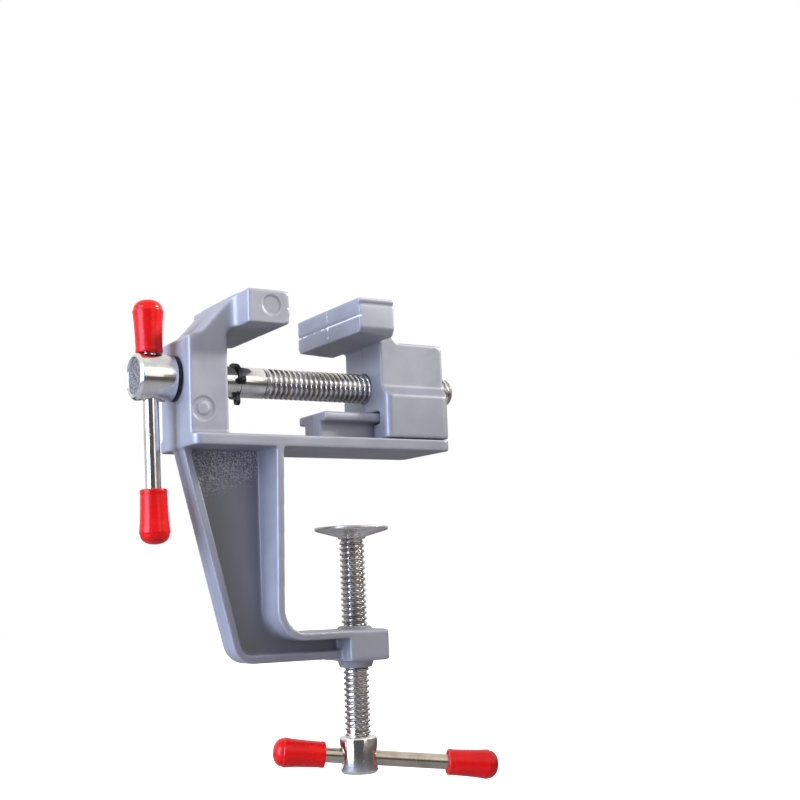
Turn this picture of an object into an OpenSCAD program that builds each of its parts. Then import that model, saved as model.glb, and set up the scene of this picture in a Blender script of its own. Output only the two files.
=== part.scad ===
// Clamp-on table vise with a sliding jaw on a T-rail
// Millimetres, +Z up, +X from the screw head to the movable jaw
// The origin lies on the clamp screw axis in the plane of the table seat

/* [Jaws] */
// Width of both jaw bars
jaw_w = 35; // [28:1:60]
// Height of the fixed jaw bar
jaw_h = 8.7; // [6:0.1:14]
// Thickness of the fixed jaw bar
fixed_jaw_t = 11.7; // [9:0.1:13.5]
// Thickness of the movable jaw bar
moving_jaw_t = 10.7; // [8:0.1:16]
// Opening between the jaws as drawn
jaw_gap = 20.4; // [0.4:0.1:30]
// How far the movable jaw bar stands over the fixed one
jaw_rise = 0.3; // [0:0.1:1]
// Fall of the movable jaw underside towards the block
jaw_fall = 0.7; // [0:0.1:2]
// Height of the bevel under the ends of the movable jaw bar
end_bevel = 1.2; // [0.4:0.1:2.5]
// Depth of the bevel under the ends of the movable jaw bar
end_inset = 0.8; // [0.2:0.1:1.6]
// Width of the V-grooves in the jaw faces
groove_w = 0.8; // [0.4:0.1:3]

/* [Frame] */
// Reach from the clamp screw axis to the inner face of the leg
throat = 25.7; // [22:0.1:50]
// Thickness of the table plate
plate_t = 3; // [2:0.1:6]
// Width of the table plate
plate_w = 24.6; // [20:0.2:34]
// Radius on the plate's corners
plate_r = 2.2; // [0.5:0.1:4]
// Reach of the plate past the clamp screw axis
plate_end = 25.5; // [20:0.5:60]
// Thickness of the upright
upright_t = 10.6; // [8:0.1:16]
// Distance from the leg's inner face back to the upright
upright_set = 14; // [12:0.1:20]
// Width of the upright, the necks and the jaw block
neck_w = 19.2; // [16:0.2:24]
// Height of the jaw screw axis over the table seat
screw_z = 18; // [17.5:0.1:24]
// Height of the fixed jaw underside over the jaw screw axis
jaw_over_screw = 12.4; // [11:0.1:20]
// Drop of the upright's outer shoulder below the jaw underside
shoulder_drop = 2.6; // [1:0.1:5]
// Radius of the fillet under the fixed jaw
neck_fillet = 2.6; // [1:0.1:4]

/* [Rail] */
// Start of the rail before the clamp screw axis
rail_start = 11; // [6:0.5:20]
// Height of the rail stem
stem_h = 4.9; // [3:0.1:6]
// Width of the rail stem
stem_w = 8.8; // [6:0.2:12]
// Thickness of the rail flange
flange_t = 2.5; // [1.5:0.1:3]
// Width of the rail flange
flange_w = 15.2; // [12:0.2:18]
// Radius on the flange edges
flange_r = 0.8; // [0.3:0.1:1.2]

/* [Leg] */
// Depth of the arm's top below the table seat
arm_drop = 47.3; // [40:0.1:80]
// Height of the arm
arm_h = 7.6; // [7:0.1:14]
// Thickness of the leg's inner flange
inner_t = 2.1; // [1.5:0.1:4]
// Height over which the inner flange starts as wide as the plate
flush = 0.4; // [0.2:0.1:2]
// Width of the inner flange at the arm corner
corner_w = 20.4; // [16:0.2:24]
// Radius of the inner corner
corner_r = 6; // [3:0.1:10]
// Thickness of the web in the leg
web_t = 1.9; // [1.2:0.1:4]
// Width of the outer rim
rim_w = 7; // [4:0.2:12]
// Thickness of the outer rim
rim_t = 2.2; // [1.5:0.1:4]
// Thickness of the lower rim
base_t = 2.3; // [1.5:0.1:3]
// Lean of the outer rim over the depth of the leg
rim_lean = 13.8; // [6:0.1:17]
// Radius of the outer corner at the bottom
rim_r = 6; // [3:0.1:10]
// Radius of the pocket's bottom corner
pocket_r = 3; // [1:0.1:6]
// Length of the boss along the arm
boss_l = 11.9; // [10:0.1:20]
// Height of the boss
boss_h = 8.3; // [7:0.1:16]
// Width of the boss
boss_w = 16.4; // [12:0.2:20]
// Height of the collar over the boss
collar_up = 0.8; // [0.3:0.1:2]
// Height of the collar under the boss
collar_down = 1.9; // [0.5:0.1:4]
// Wall of the collars
collar_wall = 1.0; // [0.6:0.1:1.8]

/* [Movable jaw] */
// Length of the block and foot
foot_l = 20; // [16:0.5:40]
// Depth of the foot's shoulder below the jaw screw axis
foot_drop = 3.1; // [2:0.1:4]
// Height of the bevel over the foot
bevel_h = 2.4; // [1:0.1:3]
// Radius on the foot's upright edges
foot_r = 2; // [0.5:0.1:4]
// Reach of the neck behind the movable jaw bar
neck_back = 4.1; // [2:0.1:7]
// Radius of the fillet behind the neck
back_fillet = 2.6; // [1:0.1:4]
// Height of the neck's upright back face
neck_rise = 5.2; // [2:0.1:8]

/* [Jaw screw] */
// Diameter of the jaw screw
screw_d = 8; // [6:0.1:9]
// Diameter of the jaw screw head
head_d = 12; // [10:0.1:15]
// Length of the jaw screw head
head_l = 10; // [8:0.1:14]
// Distance of the cross hole from the end of that head
head_hole = 4.4; // [4:0.1:7]
// Length of the screw past the movable jaw as drawn
tail = 7.1; // [2:0.1:12]
// Distance of the clip from the inside of the upright
clip_set = 5.5; // [1:0.1:8]
// Thickness of the clip
clip_t = 1.0; // [0.6:0.1:1.6]
// Mean width of the clip's band
clip_band = 1.1; // [0.9:0.1:1.8]
// Depth of the clip groove
clip_groove = 0.4; // [0.3:0.1:1]
// Reach of the clip's ears from the screw axis
ear_reach = 6.5; // [6:0.1:8]
// Half the angle between the clip's ears
ear_angle = 36; // [30:1:45]
// Turn of the clip's mouth about the screw as drawn
clip_turn = 218; // [0:1:359]
// Thickness of the thrust washer
washer_t = 0.7; // [0.5:0.1:2]

/* [Clamp screw] */
// Diameter of the clamp screw
clamp_d = 6.8; // [5:0.1:8]
// Distance from the table seat to the pad as drawn
pad_gap = 20; // [4:0.1:36]
// Diameter of the pressure pad
pad_d = 20; // [16:0.2:30]
// Height of the pressure pad
pad_h = 3.2; // [2.6:0.1:6]
// Length of the clamp screw between pad and head
clamp_l = 52.4; // [46:0.1:90]
// Diameter of the clamp screw head
clamp_head_d = 10; // [9:0.1:14]
// Length of the clamp screw head
clamp_head_l = 9.6; // [9:0.1:14]
// Depth of the cross hole's axis below the top of that head
clamp_hole = 5.4; // [4:0.1:6.5]
// Diameter of the riveted tip's shaft
pin_d = 4.4; // [3:0.1:5]

/* [Bars and caps] */
// Diameter of both sliding bars
bar_d = 4; // [3:0.1:4.5]
// Length of the jaw bar over its caps
jaw_bar_l = 62.2; // [50:0.2:90]
// Lean of the jaw bar in its hole
bar_lean = 0.8; // [0:0.1:2]
// Length of the clamp bar over its caps
clamp_bar_l = 60.8; // [50:0.2:90]
// Distance from the clamp screw axis to the left cap as drawn
bar_left = 9.2; // [6.5:0.1:20]
// Turn of the clamp bar about the clamp screw as drawn
bar_turn = -22; // [-90:1:90]
// Droop of the clamp bar in its hole
bar_droop = 6; // [0:0.1:6.4]
// Length of a cap
cap_l = 13.8; // [10:0.2:20]
// Diameter of a cap at its open end
cap_open_d = 7.1; // [6.4:0.1:9]
// Diameter of a cap at its round end
cap_end_d = 7.9; // [7:0.1:9]
// Radius on the cap's round end
cap_r = 2.9; // [1:0.1:3]
// Wall at the cap's round end
cap_wall = 2.4; // [1:0.1:4]

/* [Clearances] */
// Radial play of a screw in its hole
fit = 0.05; // [0.02:0.01:0.1]
// Gap between pieces that slide past each other
gap = 0.3; // [0.2:0.05:0.6]
// Gap over the rail flange
rail_gap = 0.5; // [0.3:0.05:0.8]
// Radial play of the jaw bar in its hole
bar_play = 0.3; // [0.2:0.05:0.6]
// Radial play of the drooping clamp bar in its hole
droop_play = 0.7; // [0.3:0.05:0.8]
// Play of a cap on its bar
cap_fit = 0.03; // [0.02:0.01:0.06]

/* [Hidden] */
$fn = 64;
paint = [0.62, 0.62, 0.65];
steel = [0.82, 0.82, 0.84];
black = [0.06, 0.06, 0.07];
red = [0.75, 0.08, 0.07];
inner_x = -throat;
up_r = inner_x - upright_set;
up_l = up_r - upright_t;
jaw_z = screw_z + jaw_over_screw;
jaw_top = jaw_z + jaw_h;
fixed_l = inner_x - fixed_jaw_t;
face_x = inner_x + jaw_gap;
foot_x = face_x + moving_jaw_t;
foot_end = foot_x + foot_l;
stem_top = plate_t + stem_h;
rail_top = stem_top + flange_t;
foot_z = plate_t + gap;
shoulder_z = screw_z - foot_drop;
block_z = jaw_z - 0.8;
moving_z = jaw_z - jaw_rise;
moving_top = jaw_top + jaw_rise;
groove_z = jaw_z + jaw_h / 2;
arm_top = -arm_drop;
arm_bot = arm_top - arm_h;
rim_x = up_l + 0.4;
rim_ang = atan(rim_lean / -arm_bot);
rim_foot = rim_x + rim_lean;
boss_x = -boss_l / 2;
boss_z = arm_top - boss_h;
corner_x = inner_x + corner_r;
corner_z = arm_top + corner_r;
head_r = up_l - gap - washer_t - 0.1;
head_x = head_r - head_l;
bar_x = head_x + head_hole;
clip_x = up_r + clip_set;
tail_x = foot_end + tail;
pad_z = -pad_gap;
neck_z = pad_z - pad_h;
clamp_top = neck_z - 0.1;
clamp_head_z = clamp_top - clamp_l;
clamp_bar_z = clamp_head_z - clamp_hole;
clamp_end = clamp_head_z - clamp_head_l;
jaw_bar_top = head_d / 2 + gap + cap_l;
jaw_bar_end = jaw_bar_top - jaw_bar_l;
bar_start = -bar_left - cap_l;
clip_shift = clip_band * 0.3;
clip_span = ear_reach + 2;
ear_r = 1.1;
ear_hole = 1.0;

// Flat profile in X and Z, thickened evenly to both sides of the middle plane
module slab(w) {
    rotate([90, 0, 0])
        linear_extrude(w, center = true)
            children();
}

// Flat profile in Y and Z, drawn along X from x0 to x1
module along_x(x0, x1) {
    translate([x0, 0, 0])
        rotate([90, 0, 90])
            linear_extrude(x1 - x0)
                children();
}

// Rectangle with round corners
module round_rect(x0, y0, x1, y1, r) {
    translate([x0 + r, y0])
        square([x1 - x0 - 2 * r, y1 - y0]);
    translate([x0, y0 + r])
        square([x1 - x0, y1 - y0 - 2 * r]);
    for (x = [x0 + r, x1 - r])
        for (y = [y0 + r, y1 - r])
            translate([x, y])
                circle(r);
}

// Round rod along X with chamfered ends
module rod_x(x0, x1, r, c0, c1) {
    translate([x0, 0, screw_z])
        rotate([0, 90, 0]) {
            cylinder(h = c0, r1 = r - c0, r2 = r);
            translate([0, 0, c0])
                cylinder(h = x1 - x0 - c0 - c1, r = r);
            translate([0, 0, x1 - x0 - c1])
                cylinder(h = c1, r1 = r, r2 = r - c1);
        }
}

// Round rod along Z with chamfered ends
module rod_z(z0, z1, r, c0, c1) {
    translate([0, 0, z0]) {
        cylinder(h = c0, r1 = r - c0, r2 = r);
        translate([0, 0, c0])
            cylinder(h = z1 - z0 - c0 - c1, r = r);
        translate([0, 0, z1 - z0 - c1])
            cylinder(h = c1, r1 = r, r2 = r - c1);
    }
}

// V-grooves across and up a jaw face at x
module jaw_grooves(x, z0, z1) {
    translate([x, 0, groove_z])
        rotate([0, 45, 0])
            cube([groove_w / sqrt(2), jaw_w + 2, groove_w / sqrt(2)], center = true);
    translate([x, 0, (z0 + z1) / 2])
        rotate([0, 0, 45])
            cube([groove_w / sqrt(2), groove_w / sqrt(2), z1 - z0 + 2], center = true);
}

// Side view of the leg and arm below the plate
module leg_outline() {
    difference() {
        polygon([[rim_x, 0.5], [inner_x, 0.5], [inner_x, arm_bot], [rim_foot, arm_bot], [rim_x, 0]]);
        rim_corner(0, 0, rim_r);
    }
    translate([inner_x - 1, arm_bot])
        square([boss_x - inner_x + 2, arm_h]);
    difference() {
        translate([inner_x - 0.5, arm_top - 0.5])
            square(corner_r + 0.5);
        translate([corner_x, corner_z])
            circle(corner_r);
    }
}

// Piece cut off the corner of the rim, side and lift are the insets from its outer lines
module rim_corner(side, lift, r) {
    cx = rim_foot + side - lift * tan(rim_ang);
    cz = arm_bot + lift;
    run = r / tan((90 + rim_ang) / 2);
    tx = cx - run * sin(rim_ang);
    tz = cz + run * cos(rim_ang);
    difference() {
        polygon([[cx - run, cz - 1], [cx + run, cz - 1], [cx + run, cz + r], [tx, tz], [tx - 2, tz]]);
        translate([cx + run, cz + r])
            circle(r);
    }
}

// Region right of the leg's inner flange and above the arm's top flange
module inside_region() {
    translate([inner_x - inner_t, corner_z])
        square([throat * 2, arm_drop]);
    translate([corner_x, arm_top - inner_t])
        square([throat * 2, arm_drop]);
    translate([corner_x, corner_z])
        circle(corner_r + inner_t);
}

// Space between outer rim and inner flange, rim side
module rim_inside() {
    side = rim_t / cos(rim_ang);
    difference() {
        polygon([[rim_x + side - tan(rim_ang), 1], [boss_x + 2, 1], [boss_x + 2, arm_bot + base_t],
            [rim_foot + side - base_t * tan(rim_ang), arm_bot + base_t]]);
        rim_corner(side, base_t, pocket_r);
    }
}

// Width limits of the inner flange from plate to boss
module flange_taper() {
    along_x(inner_x - inner_t - 1, inner_x + 0.01)
        polygon([[-plate_w / 2, 1], [plate_w / 2, 1], [plate_w / 2, -flush], [corner_w / 2, corner_z],
            [-corner_w / 2, corner_z], [-plate_w / 2, -flush]]);
    translate([0, 0, arm_bot])
        linear_extrude(corner_z - arm_bot)
            polygon([[inner_x - 6, -corner_w / 2], [inner_x, -corner_w / 2], [boss_x, -boss_w / 2],
                [boss_x + 2, -boss_w / 2], [boss_x + 2, boss_w / 2], [boss_x, boss_w / 2],
                [inner_x, corner_w / 2], [inner_x - 6, corner_w / 2]]);
}

// Leg of the frame: thin web, narrow outer rim, wide tapering inner flange
module leg() {
    slab(web_t)
        leg_outline();
    slab(rim_w)
        difference() {
            leg_outline();
            rim_inside();
            inside_region();
        }
    intersection() {
        slab(plate_w)
            intersection() {
                leg_outline();
                inside_region();
            }
        flange_taper();
    }
}

// Boss that carries the clamp screw thread
module boss() {
    collar_r = clamp_d / 2 + collar_wall;
    translate([boss_x, -boss_w / 2, boss_z])
        cube([boss_l, boss_w, boss_h]);
    translate([0, 0, arm_top - 0.5])
        cylinder(h = collar_up + 0.5, r1 = collar_r + 0.4, r2 = collar_r);
    translate([0, 0, boss_z - collar_down])
        cylinder(h = collar_down + 0.5, r1 = collar_r, r2 = collar_r + 0.5);
}

// Side view of the upright and the sloped neck
module neck_outline() {
    polygon([[up_l, 1], [up_r, 1], [up_r, jaw_z], [fixed_l + 1, jaw_z], [fixed_l + 1, jaw_top],
        [fixed_l, jaw_top], [up_l + 3.6, jaw_z - shoulder_drop + 1.3], [up_l, jaw_z - shoulder_drop]]);
}

// Hollow fillets between the sides of the neck and the back of the fixed jaw
module neck_blend() {
    r = neck_fillet;
    intersection() {
        slab(neck_w + 2 * r)
            neck_outline();
        translate([0, 0, jaw_z])
            linear_extrude(jaw_h)
                for (s = [-1, 1])
                    difference() {
                        translate([fixed_l - r, s * (neck_w + r - 0.5) / 2 - (r + 0.5) / 2])
                            square([r + 0.5, r + 0.5]);
                        translate([fixed_l - r, s * (neck_w / 2 + r)])
                            circle(r);
                    }
    }
}

// Upright with the sloped neck that carries the fixed jaw
module upright_neck() {
    neck_blend();
    slab(neck_w) {
        neck_outline();
        difference() {
            translate([up_r - 0.5, jaw_z - neck_fillet])
                square([neck_fillet + 0.5, neck_fillet + 0.5]);
            translate([up_r + neck_fillet, jaw_z - neck_fillet])
                circle(neck_fillet);
        }
    }
}

// T-shaped rail on the plate
module rail() {
    along_x(-rail_start, plate_end) {
        translate([-stem_w / 2, plate_t / 2])
            square([stem_w, stem_top - plate_t / 2 + 0.5]);
        round_rect(-flange_w / 2, stem_top, flange_w / 2, rail_top, flange_r);
    }
}

module vise_frame() {
    color(paint)
        difference() {
            union() {
                linear_extrude(plate_t)
                    round_rect(up_l, -plate_w / 2, plate_end, plate_w / 2, plate_r);
                upright_neck();
                translate([fixed_l, -jaw_w / 2, jaw_z])
                    cube([fixed_jaw_t, jaw_w, jaw_h]);
                rail();
                leg();
                boss();
            }
            translate([up_l - 1, 0, screw_z])
                rotate([0, 90, 0])
                    cylinder(h = upright_t + 2, r = screw_d / 2 + fit);
            translate([0, 0, boss_z - collar_down - 1])
                cylinder(h = boss_h + collar_down + collar_up + 2, r = clamp_d / 2 + fit);
            jaw_grooves(inner_x, jaw_z, jaw_top);
        }
}

// Block and foot of the movable jaw in cross section
module jaw_section() {
    polygon([[-plate_w / 2 - 0.1, foot_z], [plate_w / 2 + 0.1, foot_z], [plate_w / 2 + 0.1, shoulder_z],
        [neck_w / 2, shoulder_z + bevel_h], [neck_w / 2, block_z], [-neck_w / 2, block_z],
        [-neck_w / 2, shoulder_z + bevel_h], [-plate_w / 2 - 0.1, shoulder_z]]);
}

// Slot that runs on the T-rail
module rail_slot() {
    along_x(foot_x - 1, foot_end + 1) {
        translate([-stem_w / 2 - gap, 0])
            square([stem_w + 2 * gap, stem_top]);
        translate([-flange_w / 2 - gap, stem_top - rail_gap])
            square([flange_w + 2 * gap, flange_t + 2 * rail_gap]);
    }
}

// Neck between the block and the movable jaw bar
module jaw_neck() {
    back_x = foot_x + neck_back;
    top_z = block_z + neck_rise;
    slab(neck_w) {
        polygon([[foot_x - 0.5, moving_z], [foot_x, moving_z], [foot_x, block_z - 1], [back_x, block_z - 1],
            [back_x, top_z], [foot_x, moving_top], [foot_x - 0.5, moving_top]]);
        difference() {
            translate([back_x - 0.5, block_z - 0.5])
                square(back_fillet + 0.5);
            translate([back_x + back_fillet, block_z + back_fillet])
                circle(back_fillet);
        }
    }
}

// Bar of the movable jaw, bevelled under its ends
module moving_bar() {
    half = jaw_w / 2;
    low = moving_z - jaw_fall;
    inset = end_inset * (end_bevel + jaw_fall + 1) / end_bevel;
    intersection() {
        slab(jaw_w)
            polygon([[face_x, moving_z], [foot_x, low], [foot_x, moving_top], [face_x, moving_top]]);
        along_x(face_x - 1, foot_x + 1)
            polygon([[-half, moving_top + 1], [half, moving_top + 1], [half, moving_z + end_bevel],
                [half - inset, low - 1], [inset - half, low - 1], [-half, moving_z + end_bevel]]);
    }
}

module movable_jaw() {
    color(paint)
        difference() {
            union() {
                intersection() {
                    along_x(foot_x, foot_end)
                        jaw_section();
                    translate([0, 0, foot_z - 1])
                        linear_extrude(block_z)
                            round_rect(foot_x, -plate_w / 2 - 0.1, foot_end, plate_w / 2 + 0.1, foot_r);
                }
                jaw_neck();
                moving_bar();
            }
            rail_slot();
            translate([foot_x - 1, 0, screw_z])
                rotate([0, 90, 0])
                    cylinder(h = foot_l + 2, r = screw_d / 2 + fit);
            jaw_grooves(face_x, moving_z, moving_top);
        }
}

module jaw_screw() {
    r = screw_d / 2;
    color(steel)
        difference() {
            union() {
                rod_x(head_x, head_r, head_d / 2, 0.6, 0.3);
                rod_x(head_r - 1, tail_x, r, 0.1, 0.8);
            }
            translate([clip_x - 0.1, 0, screw_z])
                rotate([0, 90, 0])
                    difference() {
                        cylinder(h = clip_t + 0.2, r = r + 1);
                        translate([0, 0, -1])
                            cylinder(h = clip_t + 2.2, r = r - clip_groove);
                    }
            translate([bar_x, 0, screw_z])
                cylinder(h = head_d + 2, r = bar_d / 2 + bar_play, center = true);
        }
}

module thrust_washer() {
    color(black)
        translate([head_r + 0.1, 0, screw_z])
            rotate([0, 90, 0])
                difference() {
                    cylinder(h = washer_t, r = head_d / 2 - 0.1);
                    translate([0, 0, -1])
                        cylinder(h = washer_t + 2, r = screw_d / 2 + fit);
                }
}

// Spring ring, thickest at its back, with a round ear on each side of the mouth
module retaining_clip() {
    inner = screw_d / 2 - clip_groove + fit;
    mouth = ear_angle - 14;
    color(black)
        along_x(clip_x, clip_x + clip_t)
            translate([0, screw_z])
                rotate(clip_turn)
                    difference() {
                        union() {
                            translate([-clip_shift, 0])
                                circle(inner + clip_band);
                            for (s = [-1, 1])
                                rotate(s * ear_angle) {
                                    translate([inner, -ear_r])
                                        square([ear_reach - ear_r - inner, 2 * ear_r]);
                                    translate([ear_reach - ear_r, 0])
                                        circle(ear_r);
                                }
                        }
                        circle(inner);
                        intersection() {
                            rotate(-mouth)
                                square(clip_span);
                            rotate(mouth - 90)
                                square(clip_span);
                        }
                        for (s = [-1, 1])
                            rotate(s * ear_angle)
                                translate([ear_reach - ear_r, 0])
                                    circle(ear_hole / 2);
                    }
}

// Cap with its open end at the origin and its round end up
module cap() {
    color(red)
        rotate_extrude()
            difference() {
                intersection() {
                    union() {
                        polygon([[0, 0], [cap_open_d / 2, 0], [cap_end_d / 2, cap_l - cap_r], [0, cap_l - cap_r]]);
                        square([cap_end_d / 2 - cap_r, cap_l]);
                        translate([cap_end_d / 2 - cap_r, cap_l - cap_r])
                            circle(cap_r);
                    }
                    square([cap_end_d, cap_l]);
                }
                square([bar_d / 2 + cap_fit, cap_l - cap_wall]);
            }
}

// Places a piece drawn along the clamp bar, +Z towards its right end
module on_clamp_bar() {
    translate([0, 0, clamp_bar_z])
        rotate([0, 0, bar_turn])
            rotate([0, 90 + bar_droop, 0])
                children();
}

// Places a piece drawn along the jaw bar, +Z towards its upper end
module on_jaw_bar() {
    translate([bar_x, 0, screw_z])
        rotate([0, -bar_lean, 0])
            children();
}

module jaw_bar() {
    color(steel)
        on_jaw_bar()
            rod_z(jaw_bar_end + cap_wall + 0.1, jaw_bar_top - cap_wall - 0.1, bar_d / 2, 0.3, 0.3);
}

module jaw_bar_cap_top() {
    on_jaw_bar()
        translate([0, 0, jaw_bar_top - cap_l])
            cap();
}

module jaw_bar_cap_bottom() {
    on_jaw_bar()
        translate([0, 0, jaw_bar_end + cap_l])
            rotate([180, 0, 0])
                cap();
}

module clamp_screw() {
    r = clamp_d / 2;
    color(steel)
        difference() {
            union() {
                rod_z(clamp_end, clamp_head_z, clamp_head_d / 2, 0.6, 0.4);
                rod_z(clamp_head_z - 1, clamp_top, r, 0.1, 0.4);
                translate([0, 0, clamp_top - 1])
                    cylinder(h = pad_z - 0.8 - clamp_top + 1, r = pin_d / 2);
                translate([0, 0, pad_z - 1.3])
                    cylinder(h = 0.9, r1 = pin_d / 2 + 1, r2 = pin_d / 2 + 0.4);
            }
            translate([0, 0, clamp_bar_z])
                rotate([0, 90, bar_turn])
                    cylinder(h = clamp_head_d + 4, r = bar_d / 2 + droop_play, center = true);
        }
}

// Dished pad with a thin rim
module pressure_pad() {
    r = pad_d / 2;
    bore = pin_d / 2 + fit;
    color(steel)
        rotate_extrude()
            polygon([[bore, neck_z], [clamp_d / 2 + 0.3, neck_z], [clamp_d / 2 + 0.3, neck_z + 0.5],
                [r - 0.6, pad_z - 1.1], [r, pad_z - 0.9], [r, pad_z], [bore + 2.4, pad_z],
                [bore + 2.4, pad_z - 1.4], [bore, pad_z - 1.4]]);
}

module clamp_bar() {
    color(steel)
        on_clamp_bar()
            rod_z(bar_start + cap_wall + 0.1, bar_start + clamp_bar_l - cap_wall - 0.1, bar_d / 2, 0.3, 0.3);
}

module clamp_bar_cap_left() {
    on_clamp_bar()
        translate([0, 0, -bar_left])
            rotate([180, 0, 0])
                cap();
}

module clamp_bar_cap_right() {
    on_clamp_bar()
        translate([0, 0, bar_start + clamp_bar_l - cap_l])
            cap();
}

vise_frame();
movable_jaw();
jaw_screw();
thrust_washer();
retaining_clip();
jaw_bar();
jaw_bar_cap_top();
jaw_bar_cap_bottom();
clamp_screw();
pressure_pad();
clamp_bar();
clamp_bar_cap_left();
clamp_bar_cap_right();
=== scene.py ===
import math

import bmesh
import bpy
import numpy as np
from bpy.props import FloatProperty, FloatVectorProperty, IntProperty, PointerProperty
from mathutils import Matrix, Vector


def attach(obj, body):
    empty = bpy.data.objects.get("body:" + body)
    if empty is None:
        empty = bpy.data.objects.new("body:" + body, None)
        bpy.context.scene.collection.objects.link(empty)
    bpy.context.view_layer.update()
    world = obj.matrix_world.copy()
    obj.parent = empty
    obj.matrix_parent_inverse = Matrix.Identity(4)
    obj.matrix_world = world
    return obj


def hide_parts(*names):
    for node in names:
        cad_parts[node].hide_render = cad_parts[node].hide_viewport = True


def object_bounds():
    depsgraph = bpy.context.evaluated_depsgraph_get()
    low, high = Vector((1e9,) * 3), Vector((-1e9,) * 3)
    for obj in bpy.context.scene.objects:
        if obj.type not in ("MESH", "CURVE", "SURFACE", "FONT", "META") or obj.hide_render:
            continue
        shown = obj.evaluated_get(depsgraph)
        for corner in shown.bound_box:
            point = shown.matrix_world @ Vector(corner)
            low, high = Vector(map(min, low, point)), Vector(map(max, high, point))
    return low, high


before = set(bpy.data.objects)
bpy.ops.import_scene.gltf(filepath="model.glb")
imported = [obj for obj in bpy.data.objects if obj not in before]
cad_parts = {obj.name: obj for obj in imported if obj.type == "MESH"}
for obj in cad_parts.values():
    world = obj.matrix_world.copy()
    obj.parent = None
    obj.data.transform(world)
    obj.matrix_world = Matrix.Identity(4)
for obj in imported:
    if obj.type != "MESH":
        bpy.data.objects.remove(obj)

bl_info = {
    "name": "Table vise",
    "version": (1, 0, 0),
    "blender": (4, 5, 0),
    "location": "View3D > Sidebar > Vise",
    "description": "Builds the finished pieces of a clamp-on table vise on its frame",
    "category": "Object",
}

CAD_BOX = [list(corner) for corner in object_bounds()]
MM = 0.001


# Places on the vise, in mm

SCREW_HEIGHT = 18.0
JAW_CROSS = -57.0
CLAMP_CROSS = -81.1
FIXED_FACE = -25.7
MOVING_FACE = -5.3

# Lean of the jaw bar, turn and droop of the clamp bar, in degrees
JAW_LEAN = 0.8
CLAMP_TURN = -22.0
CLAMP_DROOP = 6.0

# Ejector pin marks: place across, height, radius, depth and the face's front. Then half the width of their slope,
# the width of the painted shade along their rim, and how far behind the front that shade is drawn
PIN_MARKS = ((-30.9, 35.1, 2.5, 0.2, -17.2), (-46.7, 9.3, 3.0, 0.2, -9.3), (-46.7, 9.3, 1.6, -0.18, -9.3))
PIN_SLOPE = 0.35
PIN_SHADE_WIDTH = 0.4
PIN_REACH = 0.5

# Seam of the mould: depth, half width, width of its slope, how far a face may turn sideways, width of its tone
SEAM_DEPTH = 0.06
SEAM_HALF = 0.5
SEAM_SLOPE = 0.35
SEAM_TURN = 0.3
SEAM_TONE = 0.35

# Grooves in the jaw faces: height of the level one, end and span of all, depth of their bottoms, reach of the glint
GROOVE_HEIGHT = 34.4
GROOVE_END = 16.4
GROOVE_SPAN = (31.6, 38.3)
GROOVE_SINK = 0.2
GROOVE_REACH = 0.45
GROOVE_FOOT = 29.0

# Groove under the lip of the movable jaw's ends: heights, slopes, depth, the ends' front, and the painted highlight and
# painted shadow round it: their front and side, and the shadow's height
LIP_LOW, LIP_HIGH = 36.9, 38.5
LIP_LOW_SLOPE, LIP_HIGH_SLOPE = 0.5, 0.4
LIP_DEPTH = 0.2
LIP_FRONT = 17.2
LIP_TONE_FRONT = -16.8
LIP_TONE_SIDE = -10.0
LIP_SHADOW = 37.8

# Pocket in the leg: fade and top of the painted shade on it, side of its web, corner, slope and fade of its rough grain
POCKET_SHADE_FADE = (1.5, 5.0)
POCKET_SHADE_TOP = 0.5
WEB_SIDE = 1.6
GRAIN_CORNER = -47.0
GRAIN_SLOPE = 0.3
GRAIN_FADE = (-15.5, -8.5)

# Zones of the castings that are rounded less: round the screws, on the rail and in the slot that runs on it
FACE_ZONE = 1.2
BORE_ZONE, BORE_END = 5.0, -39.0
BOSS_BORE_ZONE, BOSS_BORE_TOP = 4.2, -45.0
RAIL_START, RAIL_FOOT = -12.0, 2.4
SLOT_TOP, SLOT_SIDE = 13.5, 9.0
FINE_SHARE, RUNNING_SHARE = 0.25, 0.4

# Zones that are rounded more: the boss outside its bore, the fixed jaw's edges and the movable jaw's far edge
BOSS_START, BOSS_TOP, BOSS_CORE = -5.2, -46.8, 27.0
NOSE_ZONE, NOSE_FOOT, NOSE_GAP = 1.6, 29.0, 2.6
FAR_EDGE, FAR_FOOT = 23.7, 28.3

# Outlines of turned pieces: radius, place along the axis and rounding
JAW_SCREW = ((0, -61.1, 0), (4.7, -61.1, 0.1), (4.95, -61.4, 0.1), (5.3, -61.4, 0.15), (6, -60.7, 0.4),
             (6, -51.4, 0.4), (4, -51.4, 0), (4, -34.3, 0), (3.6, -34.3, 0), (3.6, -33.1, 0), (4, -33.1, 0.1),
             (4, -26.2, 0.2), (3.3, -25.5, 0), (0, -25.5, 0))
CLAMP_HEAD = ((0, -85.3, 0), (4.4, -85.3, 0.4), (5, -84.6, 0.5), (5, -75.7, 0.6), (3, -75.7, 0), (3, -74, 0),
              (0, -74, 0))
CLAMP_TIP = ((0, -24.5, 0), (2.2, -24.5, 0), (2.2, -21.3, 0), (3.2, -21.3, 0.1), (2.6, -20.4, 0.5), (0, -20.4, 0))
PAD = ((2.25, -22.4, 0), (2.25, -23.2, 0.1), (3.7, -23.2, 0.25), (3.7, -22.7, 0.5), (9.3, -21.15, 0.5),
       (10, -20.8, 0.3), (10, -20, 0.25), (4.65, -20, 0.2), (4.65, -21.4, 0.2), (2.25, -21.4, 0.1), (2.25, -22.4, 0))

# Upper halves of the cross holes: radius and distance from the screw's axis
JAW_HOLE = ((2.3, 5.0), (2.55, 5.55), (3.3, 6.0), (3.6, 8), (0, 8))
CLAMP_HOLE = ((2.7, 3.9), (2.95, 4.5), (3.6, 5.0), (4.2, 8), (0, 8))

# Rough end of the jaw screw's head: where it starts along the screw, and its radius
HEAD_END = -61.05
HEAD_END_RADIUS = 4.75

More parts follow.
